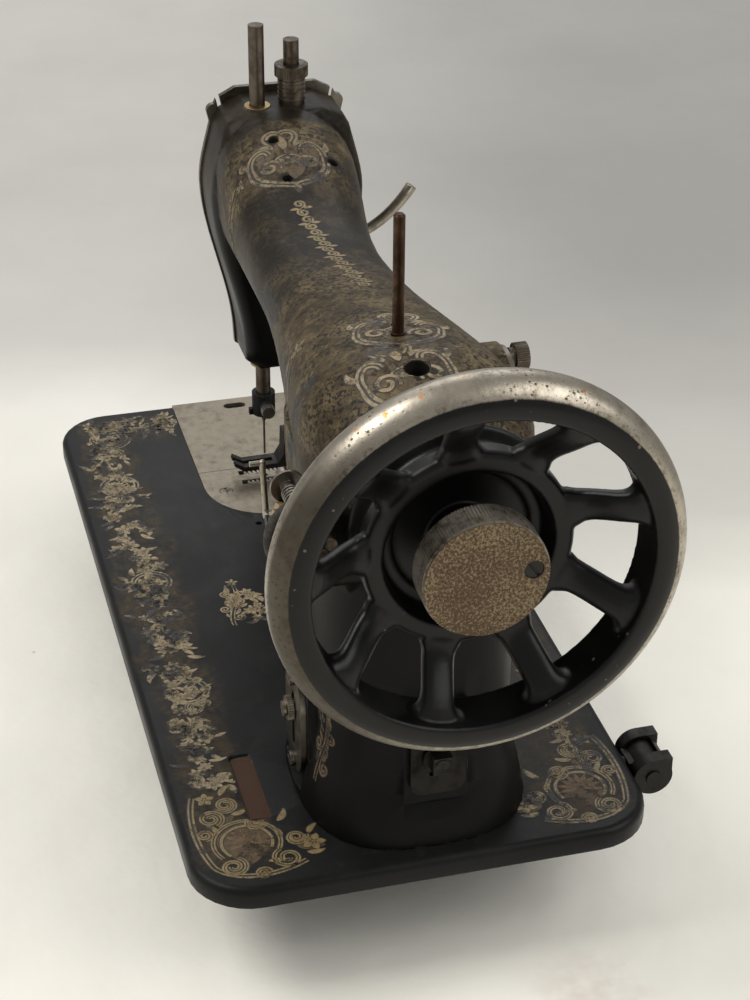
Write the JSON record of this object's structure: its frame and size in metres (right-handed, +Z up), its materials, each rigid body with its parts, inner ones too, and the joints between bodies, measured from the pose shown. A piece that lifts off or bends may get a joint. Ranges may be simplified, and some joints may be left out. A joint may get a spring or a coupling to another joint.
{
  "type": "sewing machine",
  "caption": "Cast-iron domestic sewing machine head with arm, flat bed, spoked handwheel, needle and presser bars, bobbin winder and under-bed hook and feed works.",
  "frame": {"origin": "on the surface the head rests on, under the middle of the head's whole box", "axes": "+X along the arm to the handwheel end, -Y to the operator, +Z up"},
  "size_m": [0.4162, 0.1946, 0.2811],
  "materials": {
    "bed_casting": "worn black japan",
    "arm_casting": "worn black japan with aged gilt",
    "frame_screws": "worn nickel",
    "needle_plate": "worn nickel",
    "face_plate": "worn nickel",
    "head_studs": "oiled steel",
    "bushings": "dull bronze",
    "tension_stud": "worn nickel",
    "tension_discs": "worn nickel",
    "tension_springs": "worn nickel",
    "presser_spring": "oiled steel",
    "winder_base": "blackened iron",
    "regulator_plate": "blackened iron",
    "end_plate_bolt": "blackened iron",
    "spool_pin": "browned steel",
    "hinge_arms": "blackened iron",
    "shuttle_race": "oiled steel",
    "bobbin_case": "worn nickel",
    "arm_shaft": "oiled steel",
    "crank_disc": "oiled steel",
    "rod_eccentrics": "oiled steel",
    "handwheel": "black japan, nickelled rim",
    "stop_knob": "worn nickel",
    "knob_screw": "worn nickel",
    "needle_bar_link": "oiled steel",
    "hook_rod": "oiled steel",
    "feed_rod": "oiled steel",
    "take_up_lever": "worn nickel",
    "needle_bar": "browned steel",
    "needle_bar_collar": "oiled steel",
    "needle_clamp": "blackened iron",
    "needle": "worn nickel",
    "needle_clamp_screw": "browned steel",
    "presser_bar": "browned steel",
    "presser_guide": "oiled steel",
    "presser_foot": "worn nickel",
    "foot_screw": "browned steel",
    "presser_lifter": "worn nickel",
    "pressure_thumbscrew": "browned steel",
    "tension_nut": "worn nickel",
    "slide_plate": "worn nickel",
    "winder_frame": "blackened iron",
    "winder_spindle": "worn nickel",
    "winder_pulley": "blackened iron",
    "winder_tyre": "aged rubber",
    "winder_nut": "browned steel",
    "winder_worm_wheel": "dull bronze",
    "winder_guide": "worn nickel",
    "rear_cover": "oiled steel",
    "rear_cover_thumbscrew": "browned steel",
    "regulator_lever": "worn nickel",
    "end_plate": "blackened iron",
    "hinge_knuckles": "blackened iron",
    "hook": "worn nickel",
    "hook_shaft": "oiled steel",
    "bobbin": "worn nickel",
    "feed_rock_shaft": "oiled steel",
    "feed_bar": "oiled steel",
    "feed_dog": "worn nickel",
    "lift_rock_shaft": "oiled steel"
  },
  "bodies": {
    "frame": {"bed_casting": "bed_casting", "arm_casting": "arm_casting", "frame_screws": "frame_screws", "needle_plate": "needle_plate", "face_plate": "face_plate", "head_studs": "head_studs", "bushings": "bushings", "tension_stud": "tension_stud", "tension_discs": "tension_discs", "tension_springs": "tension_springs", "presser_spring": "presser_spring", "winder_base": "winder_base", "regulator_plate": "regulator_plate", "end_plate_bolt": "end_plate_bolt", "spool_pin": "spool_pin", "hinge_arms": "hinge_arms", "shuttle_race": "shuttle_race", "bobbin_case": "bobbin_case"},
    "wheel": {"arm_shaft": "arm_shaft", "crank_disc": "crank_disc", "rod_eccentrics": "rod_eccentrics", "handwheel": "handwheel"},
    "knob": {"stop_knob": "stop_knob", "knob_screw": "knob_screw"},
    "bar_link": {"needle_bar_link": "needle_bar_link"},
    "hook_rod": {"hook_rod": "hook_rod"},
    "feed_rod": {"feed_rod": "feed_rod"},
    "take_up": {"take_up_lever": "take_up_lever"},
    "needle_bar": {"needle_bar": "needle_bar", "needle_bar_collar": "needle_bar_collar", "needle_clamp": "needle_clamp", "needle": "needle"},
    "needle_screw": {"needle_clamp_screw": "needle_clamp_screw"},
    "presser": {"presser_bar": "presser_bar", "presser_guide": "presser_guide", "presser_foot": "presser_foot"},
    "foot_screw": {"foot_screw": "foot_screw"},
    "lifter": {"presser_lifter": "presser_lifter"},
    "pressure_screw": {"pressure_thumbscrew": "pressure_thumbscrew"},
    "tension_nut": {"tension_nut": "tension_nut"},
    "slide_plate": {"slide_plate": "slide_plate"},
    "winder_frame": {"winder_frame": "winder_frame"},
    "winder_spindle": {"winder_spindle": "winder_spindle", "winder_pulley": "winder_pulley", "winder_tyre": "winder_tyre", "winder_nut": "winder_nut"},
    "winder_worm": {"winder_worm_wheel": "winder_worm_wheel"},
    "winder_guide": {"winder_guide": "winder_guide"},
    "rear_cover": {"rear_cover": "rear_cover"},
    "cover_screw": {"rear_cover_thumbscrew": "rear_cover_thumbscrew"},
    "regulator": {"regulator_lever": "regulator_lever"},
    "end_plate": {"end_plate": "end_plate"},
    "hinge_knuckles": {"hinge_knuckles": "hinge_knuckles"},
    "hook": {"hook": "hook", "hook_shaft": "hook_shaft"},
    "bobbin": {"bobbin": "bobbin"},
    "feed_rock": {"feed_rock_shaft": "feed_rock_shaft"},
    "feed_bar": {"feed_bar": "feed_bar", "feed_dog": "feed_dog"},
    "lift_rock": {"lift_rock_shaft": "lift_rock_shaft"}
  },
  "joints": [
    {"name": "handwheel_spin", "type": "hinge", "parent": "frame", "child": "wheel", "pos_m": [0.17685, -0.0083, 0.203], "axis": [1, 0, 0], "continuous": true},
    {"name": "stop_knob_turn", "type": "hinge", "parent": "wheel", "child": "knob", "pos_m": [0.20085, -0.0083, 0.203], "axis": [1, 0, 0], "range_deg": [-150, 0]},
    {"name": "needle_link_turn", "type": "hinge", "parent": "wheel", "child": "bar_link", "pos_m": [-0.12205, -0.0083, 0.215], "axis": [1, 0, 0], "continuous": true},
    {"name": "hook_rod_turn", "type": "hinge", "parent": "wheel", "child": "hook_rod", "pos_m": [0.10085, -0.0083, 0.209], "axis": [1, 0, 0], "continuous": true},
    {"name": "feed_rod_turn", "type": "hinge", "parent": "wheel", "child": "feed_rod", "pos_m": [0.08485, -0.0083, 0.206], "axis": [1, 0, 0], "continuous": true},
    {"name": "take_up_swing", "type": "hinge", "parent": "frame", "child": "take_up", "pos_m": [-0.14255, 0.0197, 0.202], "axis": [1, 0, 0], "range_deg": [0, 60]},
    {"name": "needle_bar_slide", "type": "slide", "parent": "frame", "child": "needle_bar", "axis": [0, 0, 1], "range_m": [-0.024, 0]},
    {"name": "needle_clamp_turn", "type": "hinge", "parent": "needle_bar", "child": "needle_screw", "pos_m": [-0.12215, -0.0083, 0.0915], "axis": [1, 0, 0], "range_deg": [-360, 0]},
    {"name": "presser_bar_slide", "type": "slide", "parent": "frame", "child": "presser", "axis": [0, 0, 1], "range_m": [-0.0057, 0]},
    {"name": "foot_screw_turn", "type": "hinge", "parent": "presser", "child": "foot_screw", "pos_m": [-0.12215, 0.007, 0.08], "axis": [1, 0, 0], "range_deg": [-360, 0]},
    {"name": "lifter_swing", "type": "hinge", "parent": "frame", "child": "lifter", "pos_m": [-0.12865, 0.0187, 0.169], "axis": [1, 0, 0], "range_deg": [-65, 0]},
    {"name": "pressure_screw_turn", "type": "hinge", "parent": "frame", "child": "pressure_screw", "pos_m": [-0.12915, 0.007, 0.242], "axis": [0, 0, 1], "range_deg": [-720, 720]},
    {"name": "tension_nut_turn", "type": "hinge", "parent": "frame", "child": "tension_nut", "pos_m": [-0.16915, 0.0157, 0.164], "axis": [1, 0, 0], "range_deg": [-720, 720]},
    {"name": "slide_plate_open", "type": "slide", "parent": "frame", "child": "slide_plate", "axis": [-1, 0, 0], "range_m": [0, 0.045]},
    {"name": "winder_tilt", "type": "hinge", "parent": "frame", "child": "winder_frame", "pos_m": [0.13485, -0.0551, 0.17], "axis": [1, 0, 0], "range_deg": [-3.8, 0]},
    {"name": "winder_spin", "type": "hinge", "parent": "winder_frame", "child": "winder_spindle", "pos_m": [0.14685, -0.0543, 0.198], "axis": [1, 0, 0], "continuous": true},
    {"name": "winder_worm_turn", "type": "hinge", "parent": "winder_frame", "child": "winder_worm", "pos_m": [0.13435, -0.0583, 0.1887], "axis": [0, 1, 0], "continuous": true},
    {"name": "winder_guide_swing", "type": "hinge", "parent": "winder_frame", "child": "winder_guide", "pos_m": [0.12085, -0.0583, 0.1815], "axis": [0, 1, 0], "range_deg": [-8, 8]},
    {"name": "rear_cover_swing", "type": "hinge", "parent": "frame", "child": "rear_cover", "pos_m": [0.08285, 0.0367, 0.2145], "axis": [0, 1, 0], "range_deg": [0, 110]},
    {"name": "cover_screw_turn", "type": "hinge", "parent": "frame", "child": "cover_screw", "pos_m": [0.08285, 0.0437, 0.2145], "axis": [0, 1, 0], "range_deg": [-360, 0]},
    {"name": "regulator_slide", "type": "slide", "parent": "frame", "child": "regulator", "axis": [0, 0, 1], "range_m": [-0.013, 0.0035]},
    {"name": "end_plate_slide", "type": "slide", "parent": "frame", "child": "end_plate", "axis": [0, 0, 1], "range_m": [-0.0045, 0.0045]},
    {"name": "bed_hinge_turn", "type": "hinge", "parent": "frame", "child": "hinge_knuckles", "pos_m": [-0.02315, 0.0893, 0.04725], "axis": [1, 0, 0], "range_deg": [-5, 85]},
    {"name": "hook_rock", "type": "hinge", "parent": "frame", "child": "hook", "pos_m": [-0.02315, -0.0083, 0.027], "axis": [1, 0, 0], "range_deg": [-100, 100]},
    {"name": "bobbin_spin", "type": "hinge", "parent": "frame", "child": "bobbin", "pos_m": [-0.14515, -0.0083, 0.027], "axis": [1, 0, 0], "continuous": true},
    {"name": "feed_rock", "type": "hinge", "parent": "frame", "child": "feed_rock", "pos_m": [-0.02315, 0.0357, 0.024], "axis": [1, 0, 0], "range_deg": [-5.5, 5.5]},
    {"name": "feed_bar_slide", "type": "slide", "parent": "frame", "child": "feed_bar", "axis": [0, 1, 0], "range_m": [-0.002, 0.002]},
    {"name": "lift_rock", "type": "hinge", "parent": "frame", "child": "lift_rock", "pos_m": [-0.02315, -0.0483, 0.024], "axis": [1, 0, 0], "range_deg": [-4.5, 0]}
  ],
  "couplings": [
    {"joint": "needle_link_turn", "follows": "handwheel_spin", "ratio": -1},
    {"joint": "hook_rod_turn", "follows": "handwheel_spin", "ratio": -1},
    {"joint": "feed_rod_turn", "follows": "handwheel_spin", "ratio": -1},
    {"joint": "presser_bar_slide", "follows": "lifter_swing", "m_per_rad": 0.004936},
    {"joint": "winder_worm_turn", "follows": "winder_spin", "ratio": 0.033333},
    {"joint": "feed_bar_slide", "follows": "feed_rock", "m_per_rad": -0.0204}
  ]
}
